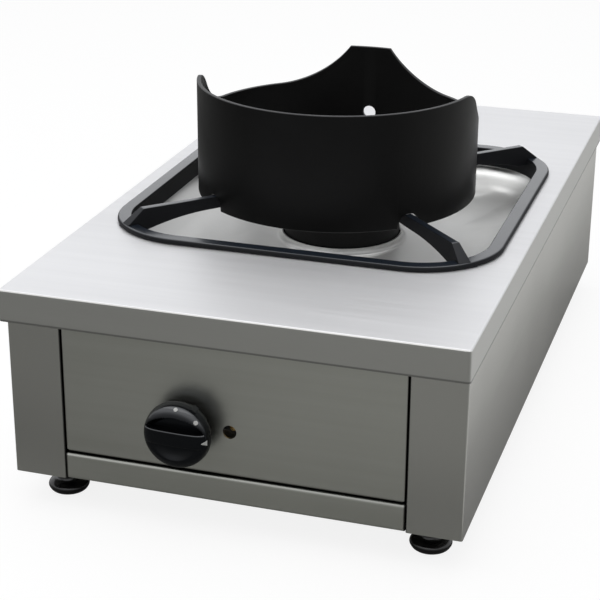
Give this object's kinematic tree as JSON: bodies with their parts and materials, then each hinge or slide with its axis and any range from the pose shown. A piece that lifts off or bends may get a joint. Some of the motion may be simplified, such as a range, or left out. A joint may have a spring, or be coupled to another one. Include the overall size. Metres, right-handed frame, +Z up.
{
  "type": "gas wok range",
  "caption": "Table-top gas wok range: brushed steel casing on screwed feet, drawn burner well, pan support with a loose scalloped wok ring, and a press-and-turn knob.",
  "frame": {"origin": "middle of the footprint, on the worktop under the feet", "axes": "+X to the right and -Y towards the cook as the cook sees it, +Z up"},
  "size_m": [0.4, 0.7164, 0.3155],
  "materials": {
    "brushed_casing": "fine brushed stainless",
    "drawn_well": "drawn stainless, softly bright",
    "grey_enamel": "dark satin enamel",
    "black_steel": "matt black",
    "cast_burner": "as cast, dark",
    "brass": "turned",
    "plated_steel": "dull zinc plating",
    "copper": "drawn copper tube",
    "knob_plastic": "gloss black",
    "foot_plastic": "satin black"
  },
  "bodies": {
    "range_body": {"top_plate": "brushed_casing", "left_side_panel": "brushed_casing", "right_side_panel": "brushed_casing", "control_panel": "brushed_casing", "base_rail": "brushed_casing", "rear_panel": "brushed_casing", "burner_well": "drawn_well", "burner_pot": "cast_burner", "burner_elbow": "cast_burner", "venturi_tube": "cast_burner", "injector": "brass", "pilot_burner": "brass", "gas_tap_body": "brass", "test_point": "brass", "gas_inlet": "brass", "front_foot_rail": "plated_steel", "rear_foot_rail": "plated_steel", "burner_nut_1": "plated_steel", "burner_nut_2": "plated_steel", "burner_nut_3": "plated_steel", "tap_cover": "plated_steel", "gas_manifold": "plated_steel", "supply_elbow": "plated_steel", "supply_pipe": "plated_steel", "manifold_saddle": "plated_steel", "supply_saddle": "plated_steel", "lock_nut_front_left": "plated_steel", "lock_nut_front_right": "plated_steel", "lock_nut_rear_left": "plated_steel", "lock_nut_rear_right": "plated_steel", "thermocouple": "copper", "burner_feed_pipe": "copper", "pilot_pipe": "copper", "thermocouple_lead": "copper"},
    "tap_plug": {"tap_plug": "brass"},
    "knob": {"control_knob": "knob_plastic", "tap_spindle": "plated_steel"},
    "pan_support": {"pan_support": "grey_enamel"},
    "wok_ring": {"wok_ring": "black_steel"},
    "burner_crown": {"burner_crown": "cast_burner"},
    "burner_cap": {"burner_cap": "cast_burner"},
    "air_shutter": {"air_shutter": "plated_steel"},
    "foot_front_left": {"foot_pad_front_left": "foot_plastic", "foot_stud_front_left": "plated_steel"},
    "foot_front_right": {"foot_pad_front_right": "foot_plastic", "foot_stud_front_right": "plated_steel"},
    "foot_rear_left": {"foot_pad_rear_left": "foot_plastic", "foot_stud_rear_left": "plated_steel"},
    "foot_rear_right": {"foot_pad_rear_right": "foot_plastic", "foot_stud_rear_right": "plated_steel"}
  },
  "joints": [
    {"name": "knob_turn", "type": "hinge", "parent": "range_body", "child": "tap_plug", "pos_m": [-0.0397, -0.30075, 0.097], "axis": [0, -1, 0], "range_deg": [0, 180]},
    {"name": "knob_push", "type": "slide", "parent": "tap_plug", "child": "knob", "axis": [0, 1, 0], "range_m": [0, 0.004], "stiffness_N_per_m": 800, "springref_m": -0.003},
    {"name": "pan_support_lift", "type": "slide", "parent": "range_body", "child": "pan_support", "axis": [0, 0, 1], "range_m": [0, 0.06]},
    {"name": "wok_ring_lift", "type": "slide", "parent": "pan_support", "child": "wok_ring", "axis": [0, 0, 1], "range_m": [0, 0.12]},
    {"name": "burner_crown_lift", "type": "slide", "parent": "range_body", "child": "burner_crown", "axis": [0, 0, 1], "range_m": [0, 0.05]},
    {"name": "burner_cap_lift", "type": "slide", "parent": "burner_crown", "child": "burner_cap", "axis": [0, 0, 1], "range_m": [0, 0.04]},
    {"name": "air_shutter_turn", "type": "hinge", "parent": "range_body", "child": "air_shutter", "pos_m": [0, -0.152, 0.0867], "axis": [0, 1, 0], "range_deg": [-40, 40]},
    {"name": "foot_front_left_height", "type": "slide", "parent": "range_body", "child": "foot_front_left", "axis": [0, 0, -1], "range_m": [0, 0.015]},
    {"name": "foot_front_right_height", "type": "slide", "parent": "range_body", "child": "foot_front_right", "axis": [0, 0, -1], "range_m": [0, 0.015]},
    {"name": "foot_rear_left_height", "type": "slide", "parent": "range_body", "child": "foot_rear_left", "axis": [0, 0, -1], "range_m": [0, 0.015]},
    {"name": "foot_rear_right_height", "type": "slide", "parent": "range_body", "child": "foot_rear_right", "axis": [0, 0, -1], "range_m": [0, 0.015]}
  ]
}
